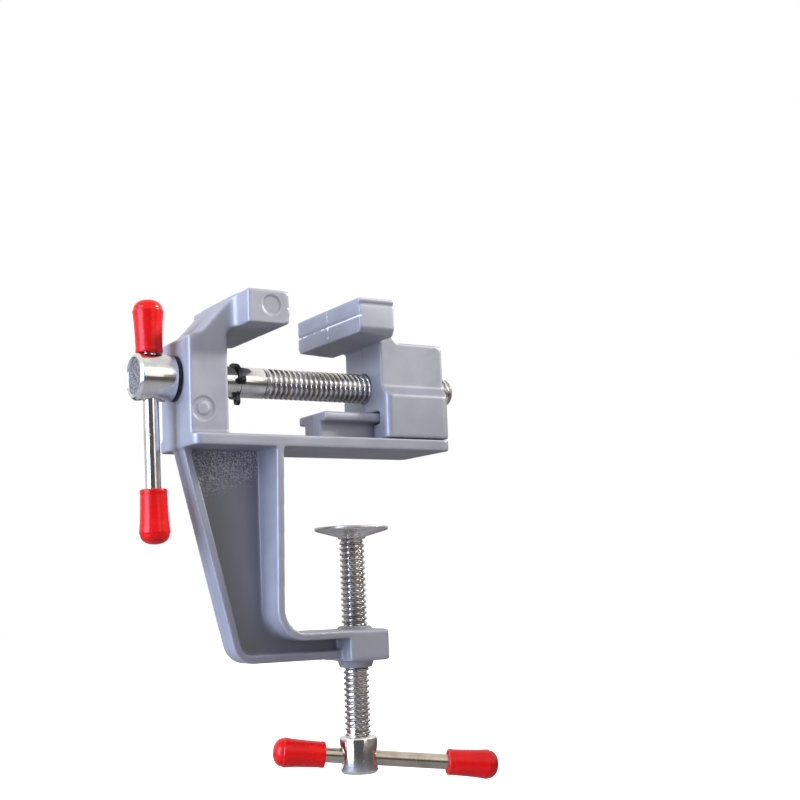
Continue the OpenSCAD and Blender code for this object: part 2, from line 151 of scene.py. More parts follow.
# Threads: start along the axis, length, radius, run-in and taper at the tip
JAW_THREAD = (-25.8, 58.3, 4.0, 1.2, 0.9)
CLAMP_THREAD = (-75.9, 52.6, 3.4, 0.6, 1.0)

# Flank of a thread, as shares of the way from the middle of a root to the middle of a crest
FLANK_START, FLANK_END = 0.26, 0.66

# Caps: node, body, side of the bar and distance of the open end from the cross hole
CAPS = (("jaw_bar_cap_top", "jaw_bar", 1, 6.08), ("jaw_bar_cap_bottom", "jaw_bar", -1, 28.3),
        ("clamp_bar_cap_left", "clamp_bar", -1, 9.2), ("clamp_bar_cap_right", "clamp_bar", 1, 24.0))
CAP_BORE = 2.03
CAP_WALL = 2.4
CAP_ROLL = 0.07
CAP_CREASE_INSET, CAP_CREASE_RISE = 0.24, 0.35
DOME_POWER = 0.85
DOME_STEPS = 14

# Faces round turned pieces, and angles in degrees over which an edge stays sharp
HEAD_STEPS, HOLE_STEPS, PAD_STEPS, CAP_STEPS = 72, 48, 96, 64
METAL_SHARP, CAP_SHARP = 38, 45

# Bend of a casting's skin, as a share of its step, that counts as a full edge
FULL_BEND = 0.1

# Least and greatest roughness of the platings
PLATE_ROUGH, BROWN_REFLECTION_ROUGH, PRESSED_ROUGH = (0.1, 0.2), (0.16, 0.26), (0.34, 0.42)

# Fades of the room's tones to the right, to the back and upwards, and of the floor's tone and white in metres
RIGHT_FADE, BACK_FADE, UP_FADE = (-0.1, 0.35), (0.1, 0.5), (0.2, 0.42)
FLOOR_FADE, FLOOR_WHITE = (0.2, 0.55), (0.12, 0.42)

# Panel lights: name, place, aim, width and height in metres, power and colour
PANEL_LIGHTS = (
    ("cool_light", (-0.72, -0.08, 0.1), (-0.03, 0, 0.0), 0.5, 0.8, 12.5, (0.6, 0.71, 1.0)),
    ("window_light", (0.24, -0.87, 0.41), (-0.03, 0, 0.02), 0.44, 0.52, 0.9, (1.0, 0.99, 0.96)),
    ("sill_light", (0.2, -0.92, 0.07), (-0.05, 0, 0.0), 0.32, 0.19, 0.22, (1.0, 0.98, 0.95)))

# Key light: place, aim, power, size of the lamp, angle of its cone and how far the cone is stretched sideways
KEY_PLACE, KEY_AIM = (0.86, -0.5, 0.56), (-0.015, 0, 0.07)
KEY_POWER = 100.0
KEY_SIZE = 0.11
KEY_CONE = 9.0
KEY_STRETCH = 2.6

# Camera at the photo's angle
CAMERA_PLACE = ((0.87191, -0.02098, -0.48922, -0.17458), (-0.48853, -0.10543, -0.86616, -0.30419),
                (-0.03341, 0.99421, -0.10217, -0.03767), (0, 0, 0, 1))
CAMERA_SENSOR = 36.0
CAMERA_SHIFT = 0.075
CAMERA_CLIP = 0.01

BLACK = (0.0, 0.0, 0.0, 1.0)
WHITE = (1.0, 1.0, 1.0, 1.0)


# Settings

def length(label, note, value):
    """Property for a length in metres"""
    return FloatProperty(name=label, description=note, default=value, min=0.0, unit="LENGTH", precision=5)


def colour(label, note, value):
    """Property for a colour"""
    return FloatVectorProperty(name=label, description=note, default=value, subtype="COLOR", size=4, min=0.0, max=1.0)


class CastingSettings(bpy.types.PropertyGroup):
    """Rounding and coat of the two castings"""
    skin: length("Skin step", "Width of one face of the moulded skin", 0.00035)
    edge_steps: IntProperty(name="Edge steps", description="Rounding steps on edges and in corners", default=8, min=0)
    boss_steps: IntProperty(name="Boss steps", description="Further rounding steps on the boss", default=16, min=0)
    nose_steps: IntProperty(name="Nose steps", description="Further rounding steps on jaw edges", default=26, min=0)
    coat: colour("Coat", "Satin grey of the castings", (0.36, 0.36, 0.395, 1.0))
    # Also the tone of the painted shade in fillets, round pin marks and in the pocket, and of the painted shadow under
    # the jaw bar's lip
    coat_dark: colour("Dark coat", "Grey of the castings in hollows", (0.17, 0.17, 0.19, 1.0))
    # Lighter grey: rubbed edges with a painted highlight, the pocket grain's worms with a painted highlight, and the
    # painted highlight on the jaw bar's lip
    coat_worn_and_highlight: colour("Worn coat", "Grey of the castings along rubbed edges", (0.52, 0.52, 0.55, 1.0))
    # Painted highlight: tone of the glints in the jaw faces' grooves
    glint_tone: colour("Bare metal", "Tone of the castings where the coat is rubbed off", (0.88, 0.88, 0.9, 1.0))


class ScrewSettings(bpy.types.PropertyGroup):
    """Threads and plating of both screws"""
    pitch: length("Pitch", "Advance of a thread in one turn", 0.0015)
    depth: length("Thread depth", "Depth of the thread's groove", 0.00055)
    around: IntProperty(name="Steps around", description="Faces round a thread", default=60, min=12, max=128)
    per_turn: IntProperty(name="Steps along", description="Faces along one turn of a thread", default=14, min=6, max=32)
    plate: colour("Plating", "Bright plating of screws and jaw bar", (0.8, 0.79, 0.77, 1.0))
    plate_dull: colour("Dull plating", "Plating where it has clouded", (0.6, 0.585, 0.56, 1.0))
    # Painted reflection: the clamp bar's plating is tinted brown and darker to stand for a wooden board seen in it
    brown_reflection: colour("Handled plating", "Plating of the clamp bar, dulled by hands", (0.58, 0.5, 0.41, 1.0))
    brown_reflection_dull: colour("Dull handled plating", "Plating of the clamp bar where it has clouded",
                         (0.4, 0.34, 0.27, 1.0))
    pressed: colour("Pad plating", "Satin plating of the pad", (0.74, 0.72, 0.7, 1.0))
    pressed_dull: colour("Dull pad plating", "Plating of the pad where it has clouded", (0.58, 0.56, 0.54, 1.0))
    # Painted shade with a brown stain in the thread roots
    stain_and_shade: colour("Thread stain", "Dark stain in the roots of a thread", (0.17, 0.12, 0.085, 1.0))
    forged: colour("Forged end", "Pale specks on the rough end of the head", (0.36, 0.35, 0.335, 1.0))
    forged_dark: colour("Dark forged end", "Ground of the rough end of the head", (0.1, 0.097, 0.093, 1.0))
    black: colour("Black", "Black finish of the washer and the ring", (0.012, 0.012, 0.014, 1.0))
    black_worn: colour("Worn black", "Black finish where it is rubbed", (0.045, 0.045, 0.05, 1.0))


class CapSettings(bpy.types.PropertyGroup):
    """Soft caps on the ends of both bars"""
    long: length("Cap length", "Length of a cap", 0.0138)
    open_width: length("Open width", "Diameter of a cap at its open end", 0.0068)
    end_width: length("End width", "Diameter of a cap at its round end", 0.0079)
    end_radius: length("Dome height", "Height of the round end of a cap", 0.0029)
    lip: length("Lip radius", "Rounding on the lip of a cap", 0.0004)
    red: colour("Cap red", "Colour of the soft caps", (0.77, 0.006, 0.005, 1.0))
    red_deep: colour("Deep red", "Colour of the caps where they are thick", (0.65, 0.004, 0.004, 1.0))
    red_speck: colour("Speck red", "Colour of small specks on the caps", (0.7, 0.05, 0.05, 1.0))


class StageSettings(bpy.types.PropertyGroup):
    """Floor, lights and camera"""
    floor_drop: length("Floor drop", "Height of the lowest piece over the floor", 0.07)
    floor_size: length("Floor size", "Width of the floor", 8.0)
    lens: FloatProperty(name="Lens", description="Focal length of the camera in mm", default=58.28, min=10.0)
    floor: colour("Floor", "Colour of the floor", (0.9, 0.9, 0.9, 1.0))
    floor_bounce: colour("Floor bounce", "Tone of the floor in reflections", (0.46, 0.44, 0.42, 1.0))
    floor_far: colour("Floor far away", "Tone of the floor further off in reflections", (0.06, 0.055, 0.05, 1.0))
    ceiling: colour("Ceiling", "Tone of the light from above", (0.58, 0.58, 0.59, 1.0))
    ceiling_shine: colour("Ceiling shine", "Tone of the ceiling in reflections", (1.0, 1.0, 0.98, 1.0))
    room: colour("Room", "Tone of the dark room in front", (0.1, 0.1, 0.11, 1.0))
    room_right: colour("Room on the right", "Tone of the room to the right", (0.32, 0.29, 0.26, 1.0))
    behind: colour("Behind", "Tone of the pale wall behind", (0.75, 0.76, 0.8, 1.0))


class ViseSettings(bpy.types.PropertyGroup):
    """All sizes and colours that the operators read"""
    casting: PointerProperty(type=CastingSettings)
    screw: PointerProperty(type=ScrewSettings)
    cap: PointerProperty(type=CapSettings)
    stage: PointerProperty(type=StageSettings)


# Node trees

class Wiring:
    """Adds nodes to one tree and links them"""

    def __init__(self, tree):
        self.tree = tree

    def feed(self, socket, value):
        """Links another socket to this one, or sets its value"""
        if isinstance(value, bpy.types.NodeSocket):
            self.tree.links.new(value, socket)
        else:
            socket.default_value = value

    def node(self, kind, inputs=None, **settings):
        """A new node with its settings and inputs"""
        made = self.tree.nodes.new(kind)
        for key, value in settings.items():
            setattr(made, key, value)
        for key, value in (inputs or {}).items():
            self.feed(made.inputs[key], value)
        return made

    def math(self, operation, a, b=0.0, clamp=False):
        """One operation on one or two values"""
        return self.node("ShaderNodeMath", {0: a, 1: b}, operation=operation, use_clamp=clamp).outputs[0]

    def chain(self, operation, first, *others):
        """One operation over several values, from left to right"""
        for value in others:
            first = self.math(operation, first, value)
        return first

    def weighed(self, operation, *pairs):
        """Values times their shares, brought together by one operation"""
        return self.chain(operation, *(self.math("MULTIPLY", value, share) for value, share in pairs))

    def ramp(self, value, low, high, to_low=0.0, to_high=1.0, smooth=True):
        """A value's range stretched to another range"""
        made = self.node("ShaderNodeMapRange", {"Value": value, "From Min": low, "From Max": high,
                                                "To Min": to_low, "To Max": to_high},
                         interpolation_type="SMOOTHSTEP" if smooth else "LINEAR")
        return made.outputs["Result"]

    def spread(self, noise, to_low=0.0, to_high=1.0):
        """Noise stretched from its usual range"""
        return self.ramp(noise, 0.3, 0.7, to_low, to_high)

    def near(self, value, centre, inner, outer):
        """One close to the centre, fading to zero further off"""
        return self.ramp(self.math("ABSOLUTE", self.math("SUBTRACT", value, centre)), inner, outer, 1.0, 0.0)

    def mix(self, share, a, b):
        """Two colours mixed"""
        made = self.node("ShaderNodeMix", data_type="RGBA")
        self.feed(made.inputs[0], share)
        self.feed(made.inputs[6], a)
        self.feed(made.inputs[7], b)
        return made.outputs[2]

    def noise(self, vector, scale, detail=2.0, roughness=0.5, distortion=0.0):
        """Cloudy noise"""
        made = self.node("ShaderNodeTexNoise", {"Vector": vector, "Scale": scale, "Detail": detail,
                                                "Roughness": roughness, "Distortion": distortion})
        return made.outputs["Fac"]

    def parts(self, vector):
        """The three parts of a vector"""
        return self.node("ShaderNodeSeparateXYZ", {0: vector}).outputs

    def millimetres(self, vector):
        """The three parts of a place, in mm"""
        return self.parts(self.node("ShaderNodeVectorMath", {0: vector, "Scale": 1 / MM}, operation="SCALE").outputs[0])

    def attribute(self, name):
        """A value stored on the mesh"""
        return self.node("ShaderNodeAttribute", attribute_name=name).outputs["Fac"]

    def bump(self, height, strength, distance_mm):
        """Normal from a fine height"""
        return self.node("ShaderNodeBump", {"Height": height, "Strength": strength,
                                            "Distance": distance_mm * MM}).outputs[0]

    def group(self, name, make, **inputs):
        """Outputs of a shared group, which is made on its first use"""
        made = self.node("ShaderNodeGroup", node_tree=bpy.data.node_groups.get(name) or make(name))
        for key, value in inputs.items():
            self.feed(made.inputs[key.replace("_", " ")], value)
        return made.outputs


def shared_group(name, inputs, outputs):
    """A shader node group with named sockets, its wiring and its two ends"""
    group = bpy.data.node_groups.new(name, "ShaderNodeTree")
    for label, kind, value in inputs:
        socket = group.interface.new_socket(label, in_out="INPUT", socket_type="NodeSocket" + kind)
        if value is not None:
            socket.default_value = value
    for label in outputs:
        group.interface.new_socket(label, in_out="OUTPUT", socket_type="NodeSocketFloat")
    wires = Wiring(group)
    return group, wires, wires.node("NodeGroupInput").outputs, wires.node("NodeGroupOutput").inputs


def grain_group(name):
    """Fine grain, broad clouds and small specks"""
    group, w, given, out = shared_group(
        name, (("Vector", "Vector", None), ("Fine Scale", "Float", 900.0), ("Broad Scale", "Float", 60.0)),
        ("Fine", "Broad", "Specks"))
    w.feed(out["Fine"], w.noise(given["Vector"], given["Fine Scale"], 3.0, 0.6))
    w.feed(out["Broad"], w.noise(given["Vector"], given["Broad Scale"], 3.0, 0.55))
    small = w.noise(given["Vector"], w.math("MULTIPLY", given["Fine Scale"], 0.6), 1.0, 0.5)
    w.feed(out["Specks"], w.ramp(small, 0.66, 0.74))
    return group


def wear_and_shade_group(name):
    """Outer edges rubbed and lightened, wear with a painted highlight, and painted shade in fillets, from the edge
    attribute
    """
    group, w, given, out = shared_group(
        name, (("Edge", "Float", 0.0), ("Noise", "Float", 0.5), ("Amount", "Float", 0.5)), ("Rubbed_And_Highlight", "Hollow"))
    uneven = w.ramp(given["Noise"], 0.35, 0.65, 0.35, 1.0)
    # Outer edges lightened: wear with a painted highlight
    w.feed(out["Rubbed_And_Highlight"], w.chain("MULTIPLY", w.math("MAXIMUM", given["Edge"], 0.0), uneven, given["Amount"]))
    # Painted shade: darkens concave fillets
    w.feed(out["Hollow"], w.math("MAXIMUM", w.math("MULTIPLY", given["Edge"], -1.0), 0.0))
    return group


def pin_shade_group(name):
    """Painted shade along the rim of the round mark left by an ejector pin on a front face"""
    group, w, given, out = shared_group(
        name, (("Vector", "Vector", None), ("Across", "Float", 0.0), ("Height", "Float", 0.0),
               ("Radius", "Float", 0.003), ("Width", "Float", 0.0003), ("Front", "Float", -0.009)), ("Rim_Shade",))
    at = w.parts(given["Vector"])
    dx = w.math("SUBTRACT", at["X"], given["Across"])
    dz = w.math("SUBTRACT", at["Z"], given["Height"])
    far = w.math("SQRT", w.math("ADD", w.math("MULTIPLY", dx, dx), w.math("MULTIPLY", dz, dz)))
    front = w.math("LESS_THAN", at["Y"], given["Front"])
    w.feed(out["Rim_Shade"], w.math("MULTIPLY", w.near(far, given["Radius"], 0.0, given["Width"]), front))
    return group


def seam_group(name):
    """Seam of the casting mould along the middle plane"""
    group, w, given, out = shared_group(name, (("Vector", "Vector", None), ("Width", "Float", 0.0003)), ("Line",))
    sway = w.math("MULTIPLY", w.math("SUBTRACT", 0.5, w.noise(given["Vector"], 120.0)), 0.0006)
    w.feed(out["Line"], w.near(w.parts(given["Vector"])["Y"], sway, 0.0, given["Width"]))
    return group


# Materials

def dressed(name, paint, *given):
    """The material of that name, painted on its first use"""
    if name not in bpy.data.materials:
        material = bpy.data.materials.new(name)
        material.use_nodes = True
        material.node_tree.nodes.clear()
        w = Wiring(material.node_tree)
        shader = w.node("ShaderNodeBsdfPrincipled")
        w.node("ShaderNodeOutputMaterial", {"Surface": shader.outputs[0]})
        paint(w, shader.inputs, w.node("ShaderNodeTexCoord").outputs, *given)
    return bpy.data.materials[name]


def grained(w, at, fine, broad):
    """Outputs of the shared grain at two scales"""
    return w.group("Grain", grain_group, Vector=at, Fine_Scale=fine, Broad_Scale=broad)


def pocket_masks(w, at, x, y, z, facing):
    """Painted shade on the web in the leg's pocket, and the rough grain high up in it"""
    # skin is painted shade that darkens the pocket's web
    skin = w.chain("MULTIPLY", w.near(y, 0.0, *POCKET_SHADE_FADE), w.ramp(facing, 0.2, 0.8), w.math("LESS_THAN", z, POCKET_SHADE_TOP))
    in_web = w.math("LESS_THAN", w.math("ABSOLUTE", y), WEB_SIDE)
    slant = w.math("SUBTRACT", z, w.math("MULTIPLY", w.math("SUBTRACT", x, GRAIN_CORNER), GRAIN_SLOPE))
    pocket = w.chain("MULTIPLY", in_web, w.ramp(slant, *GRAIN_FADE), skin, w.math("GREATER_THAN", facing, 0.9))
    # Rough grain: its worms are painted lighter, grain tone with a painted highlight on their ridges
    swirl = w.noise(at, 1650.0, detail=0.0, distortion=0.4)
    return skin, w.math("MULTIPLY", w.near(swirl, 0.5, 0.03, 0.13), pocket)


def groove_glint(w, at, x, y, z):
    """Painted glints, highlights along the grooves of both jaw faces"""
    faces = (w.math("LESS_THAN", w.math("ABSOLUTE", w.math("SUBTRACT", x, bottom)), GROOVE_REACH)
             for bottom in (MOVING_FACE + GROOVE_SINK, FIXED_FACE - GROOVE_SINK))
    patchy = w.ramp(w.noise(at, 420.0), 0.5, 0.6)
    front = w.ramp(y, -1.0, 1.0, 1.0, 0.0)
    level = w.math("MULTIPLY", w.near(z, GROOVE_HEIGHT, 0.1, 0.3), w.math("MAXIMUM", patchy, front))
    plumb = w.chain("MULTIPLY", w.near(y, 0.0, 0.2, 0.5), patchy, w.math("GREATER_THAN", z, GROOVE_FOOT))
    return w.math("MULTIPLY", w.chain("MAXIMUM", *faces), w.math("MAXIMUM", level, plumb))


def lip_masks(w, x, y, z):
    """Painted highlight on the lip at the front end of the movable jaw bar, and the painted shadow under it"""
    end = w.math("MULTIPLY", w.math("LESS_THAN", y, LIP_TONE_FRONT), w.math("GREATER_THAN", x, LIP_TONE_SIDE))
    # Painted highlight on top of the lip
    lip = w.math("MULTIPLY", end, w.ramp(z, LIP_HIGH - LIP_HIGH_SLOPE, LIP_HIGH))
    # Painted shadow under the lip
    return lip, w.math("MULTIPLY", end, w.near(z, LIP_SHADOW, 0.2, 0.8))


def paint_casting(w, shader, place):
    """Satin grey coat on a casting"""
    sizes = bpy.context.scene.vise.casting
    at = place["Object"]
    x, y, z = w.millimetres(at)
    facing = w.math("ABSOLUTE", w.parts(place["Normal"])["Y"])
    grain = grained(w, at, fine=1100.0, broad=70.0)
    # Edge wear with a painted highlight on outer edges, and painted shade in fillets
    edge_wear_and_shade = w.group("Edge_Wear", wear_and_shade_group, Edge=w.attribute("edge"), Noise=grain["Broad"], Amount=0.45)
    seam = w.group("Mould_Seam", seam_group, Vector=at, Width=SEAM_TONE * MM)["Line"]
    # Painted shade round the rims of the pin marks
    pin_shades = [w.group("Pin_Mark", pin_shade_group, Vector=at, Across=across * MM, Height=height * MM, Radius=radius * MM,
                    Width=PIN_SHADE_WIDTH * MM, Front=(front + PIN_REACH) * MM)["Rim_Shade"]
            for across, height, radius, _, front in PIN_MARKS]
    # skin: painted shade in the leg's pocket; pebbles: its rough grain
    skin, pebbles = pocket_masks(w, at, x, y, z, facing)
    lip, shadow = lip_masks(w, x, y, z)
    # Painted shade in fillets, round the pin marks and in the pocket, painted shadow under the lip, and the seam's dark
    # line
    dark = w.weighed("MAXIMUM", (edge_wear_and_shade["Hollow"], 0.35), (w.chain("MAXIMUM", *pin_shades), 0.3), (seam, 0.2), (skin, 0.85),
                     (shadow, 0.6))
    tint = w.mix(w.spread(grain["Broad"], 0.0, 0.35), sizes.coat, sizes.coat_dark)
    # Rubbed edges lightened: wear with a painted highlight
    tint = w.mix(edge_wear_and_shade["Rubbed_And_Highlight"], tint, sizes.coat_worn_and_highlight)
    tint = w.mix(dark, tint, sizes.coat_dark)
    # Pocket grain's worms lightened with a painted highlight, and the painted highlight on the jaw bar's lip
    tint = w.mix(w.math("MAXIMUM", pebbles, w.math("MULTIPLY", lip, 0.5)), tint, sizes.coat_worn_and_highlight)
    # Painted glints along the grooves of the jaw faces
    tint = w.mix(groove_glint(w, at, x, y, z), tint, sizes.glint_tone)
    w.feed(shader["Base Color"], tint)
    rough = w.spread(grain["Fine"], 0.38, 0.5)
    w.feed(shader["Roughness"], w.math("SUBTRACT", rough, w.math("MULTIPLY", edge_wear_and_shade["Rubbed_And_Highlight"], 0.06)))
    shader["Metallic"].default_value = 0.25
    height = w.weighed("ADD", (grain["Fine"], 0.12), (grain["Broad"], 0.35), (pebbles, 1.2))
    w.feed(shader["Normal"], w.bump(height, strength=0.55, distance_mm=0.25))


def paint_plating(w, shader, place, bright, dull, smooth_at, rough_at):
    """Plating with clouded patches, and thread roots darkened by painted shade with a brown stain"""
    grain = grained(w, place["Object"], fine=1600.0, broad=160.0)
    root = w.attribute("root")
    # Thread roots darkened: painted shade with a stain
    roots_to_shade = w.chain("MULTIPLY", root, w.spread(grain["Broad"], 0.55, 0.95), 0.9)
    tint = w.mix(w.ramp(grain["Broad"], 0.35, 0.75), bright, dull)
    w.feed(shader["Base Color"], w.mix(roots_to_shade, tint, bpy.context.scene.vise.screw.stain_and_shade))
    rough = w.chain("ADD", w.ramp(grain["Broad"], 0.3, 0.8, smooth_at, rough_at), w.math("MULTIPLY", root, 0.2),
                    w.math("MULTIPLY", grain["Specks"], 0.12))
    w.feed(shader["Roughness"], rough)
    shader["Metallic"].default_value = 1.0
    w.feed(shader["Normal"], w.bump(grain["Fine"], strength=0.12, distance_mm=0.06))


def paint_forged(w, shader, place):
    """Rough grey end of the screw head"""
    sizes = bpy.context.scene.vise.screw
    grain = grained(w, place["Object"], fine=3000.0, broad=2100.0)
    specks = w.ramp(grain["Broad"], 0.4, 0.62)
    w.feed(shader["Base Color"], w.mix(specks, sizes.forged_dark, sizes.forged))
    w.feed(shader["Roughness"], w.spread(grain["Fine"], 0.45, 0.65))
    shader["Metallic"].default_value = 0.7
    height = w.math("ADD", specks, w.math("MULTIPLY", grain["Fine"], 0.4))
    w.feed(shader["Normal"], w.bump(height, strength=0.5, distance_mm=0.2))


def paint_black(w, shader, place):
    """Oiled black finish of the washer and the ring"""
    sizes = bpy.context.scene.vise.screw
    grain = grained(w, place["Object"], fine=1500.0, broad=300.0)
    w.feed(shader["Base Color"], w.mix(grain["Broad"], sizes.black, sizes.black_worn))
    w.feed(shader["Roughness"], w.spread(grain["Broad"], 0.26, 0.42))
    shader["Metallic"].default_value = 0.6
    w.feed(shader["Normal"], w.bump(grain["Fine"], strength=0.2, distance_mm=0.08))


def paint_vinyl(w, shader, place):
    """Soft red dip of the caps"""
    sizes = bpy.context.scene.vise.cap
    grain = grained(w, place["Object"], fine=1300.0, broad=150.0)
    tint = w.mix(w.spread(grain["Broad"]), sizes.red, sizes.red_deep)
    tint = w.mix(w.math("MULTIPLY", grain["Specks"], 0.25), tint, sizes.red_speck)
    w.feed(shader["Base Color"], tint)
    w.feed(shader["Roughness"], w.spread(grain["Broad"], 0.22, 0.32))
    shader["Specular IOR Level"].default_value = 0.27
    height = w.math("ADD", w.math("MULTIPLY", grain["Fine"], 0.2), grain["Broad"])
    w.feed(shader["Normal"], w.bump(height, strength=0.2, distance_mm=0.3))


def paint_floor(w, shader, place):
    """Plain pale floor that runs out into white"""
    sizes = bpy.context.scene.vise.stage
    seen = w.node("ShaderNodeLightPath").outputs["Is Camera Ray"]
    level = w.node("ShaderNodeVectorMath", {0: place["Object"], 1: (1.0, 1.0, 0.0)}, operation="MULTIPLY").outputs[0]
    far = w.node("ShaderNodeVectorMath", {0: level}, operation="LENGTH").outputs["Value"]
    bounce = w.mix(w.ramp(far, *FLOOR_FADE), sizes.floor_bounce, sizes.floor_far)
    w.feed(shader["Base Color"], w.mix(seen, bounce, sizes.floor))
    w.feed(shader["Emission Color"], w.mix(w.math("MULTIPLY", w.ramp(far, *FLOOR_WHITE), seen), BLACK, WHITE))
    shader["Emission Strength"].default_value = 1.0
    shader["Roughness"].default_value = 0.8


def cast_grey():
    """Material of the castings"""
    return dressed("Cast_Grey", paint_casting)


def plated_steel():
    """Material of the screws and the jaw bar"""
    sizes = bpy.context.scene.vise.screw
    return dressed("Plated_Steel", paint_plating, sizes.plate, sizes.plate_dull, *PLATE_ROUGH)


def brown_reflection_steel():
    """Material of the clamp bar, tinted brown and darker as a painted reflection of a wooden board"""
    sizes = bpy.context.scene.vise.screw
    return dressed("Brown_Reflection_Steel", paint_plating, sizes.brown_reflection, sizes.brown_reflection_dull, *BROWN_REFLECTION_ROUGH)


def pressed_steel():
    """Material of the pad"""
    sizes = bpy.context.scene.vise.screw
    return dressed("Pressed_Steel", paint_plating, sizes.pressed, sizes.pressed_dull, *PRESSED_ROUGH)


def blackened_steel():
    """Material of the washer and the ring"""
    return dressed("Blackened_Steel", paint_black)


# Meshes

def finished(name, mesh, materials, body, slot, *nodes):
    """Puts a finished mesh into the scene on its body, in place of its CAD nodes"""
    mesh.name = name
    mesh.materials.clear()
    for material in materials:
        mesh.materials.append(material)
    piece = loose_object(name, mesh)
    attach(piece, body)
    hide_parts(*nodes)
    return piece


def loose_object(name, data):
    """A new object in the scene"""
    made = bpy.data.objects.new(name, data)
    bpy.context.scene.collection.objects.link(made)
    return made


def baked(made):
    """Plain mesh of an object with its modifiers applied; the object goes"""
    graph = bpy.context.evaluated_depsgraph_get()
    mesh = bpy.data.meshes.new_from_object(made.evaluated_get(graph), preserve_all_data_layers=True, depsgraph=graph)
    bpy.data.objects.remove(made)
    if not mesh.polygons:
        raise RuntimeError("a piece came out empty")
    return mesh


def shade(mesh, angle):
    """Smooth faces, with edges sharper than the angle kept"""
    mesh.shade_smooth()
    mesh.set_sharp_from_angle(angle=math.radians(angle))


def softened(points, steps=4):
    """Outline whose corners (x, y, radius) are rounded"""
    out = []
    last = len(points) - 1
    for i, (x, y, r) in enumerate(points):
        here = Vector((x, y))
        if r <= 0 or i in (0, last):
            out.append(here)
            continue
        a = Vector(points[i - 1][:2]) - here
        b = Vector(points[i + 1][:2]) - here
        half = a.angle(b) / 2
        run = min(r / math.tan(half), a.length * 0.49, b.length * 0.49)
        r = run * math.tan(half)
        a.normalize()
        b.normalize()
        centre = here + (a + b).normalized() * (r / math.sin(half))
        start = here + a * run - centre
        end = here + b * run - centre
        sweep = start.angle_signed(end)
        out.extend(centre + Matrix.Rotation(-sweep * k / steps, 2) @ start for k in range(steps + 1))
    return out


def lathe(outline, steps, place):
    """Closed mesh turned from an outline of (radius, height) in mm about local Z, then placed"""
    bm = bmesh.new()
    rings = []
    for radius, height in outline:
        if radius < 1e-6:
            rings.append([bm.verts.new((0, 0, height * MM))])
        else:
            rings.append([bm.verts.new((radius * MM * math.cos(a), radius * MM * math.sin(a), height * MM))
                          for a in (2 * math.pi * k / steps for k in range(steps))])
    for low, high in zip(rings, rings[1:]):
        for k in range(steps):
            n = (k + 1) % steps
            face = [low[k % len(low)], low[n % len(low)], high[n % len(high)], high[k % len(high)]]
            bm.faces.new(list(dict.fromkeys(face)))
    bmesh.ops.remove_doubles(bm, verts=bm.verts, dist=1e-7)
    bmesh.ops.recalc_face_normals(bm, faces=bm.faces)
    bmesh.ops.transform(bm, matrix=place, verts=bm.verts)
    return plain_mesh(bm, "turned")


def plain_mesh(bm, name):
    """Mesh of an editing mesh, which goes"""
    mesh = bpy.data.meshes.new(name)
    bm.to_mesh(mesh)
    bm.free()
    return mesh


def drilled(mesh, half_hole, place):
    """Mesh with a cross hole, whose outline is mirrored about the screw's axis"""
    outline = [(radius, -height) for radius, height in reversed(half_hole)] + list(half_hole)
    tool = loose_object("cutter", lathe(outline, HOLE_STEPS, place))
    made = loose_object("blank", mesh)
    cut = made.modifiers.new("Hole", "BOOLEAN")
    cut.object = tool
    cut.operation = "DIFFERENCE"
    cut.solver = "EXACT"
    result = baked(made)
    bpy.data.objects.remove(tool)
    return result


def joined(*meshes):
    """One mesh of several, with their attributes"""
    bm = bmesh.new()
    for mesh in meshes:
        bm.from_mesh(mesh)
    return plain_mesh(bm, "joined")


def along(direction, origin):
    """Placing of a piece drawn along Z on an axis"""
    turn = Vector((0, 0, 1)).rotation_difference(Vector(direction)).to_matrix().to_4x4()
    return Matrix.Translation(Vector(origin) * MM) @ turn


# Threads

THREAD_INPUTS = (("Length", "Float", 0.05), ("Radius", "Float", 0.004), ("Pitch", "Float", 0.0015),
                 ("Depth", "Float", 0.00055), ("Run In", "Float", 0.001), ("Tip Taper", "Float", 0.001),
                 ("Around", "Int", 60), ("Along", "Int", 500))


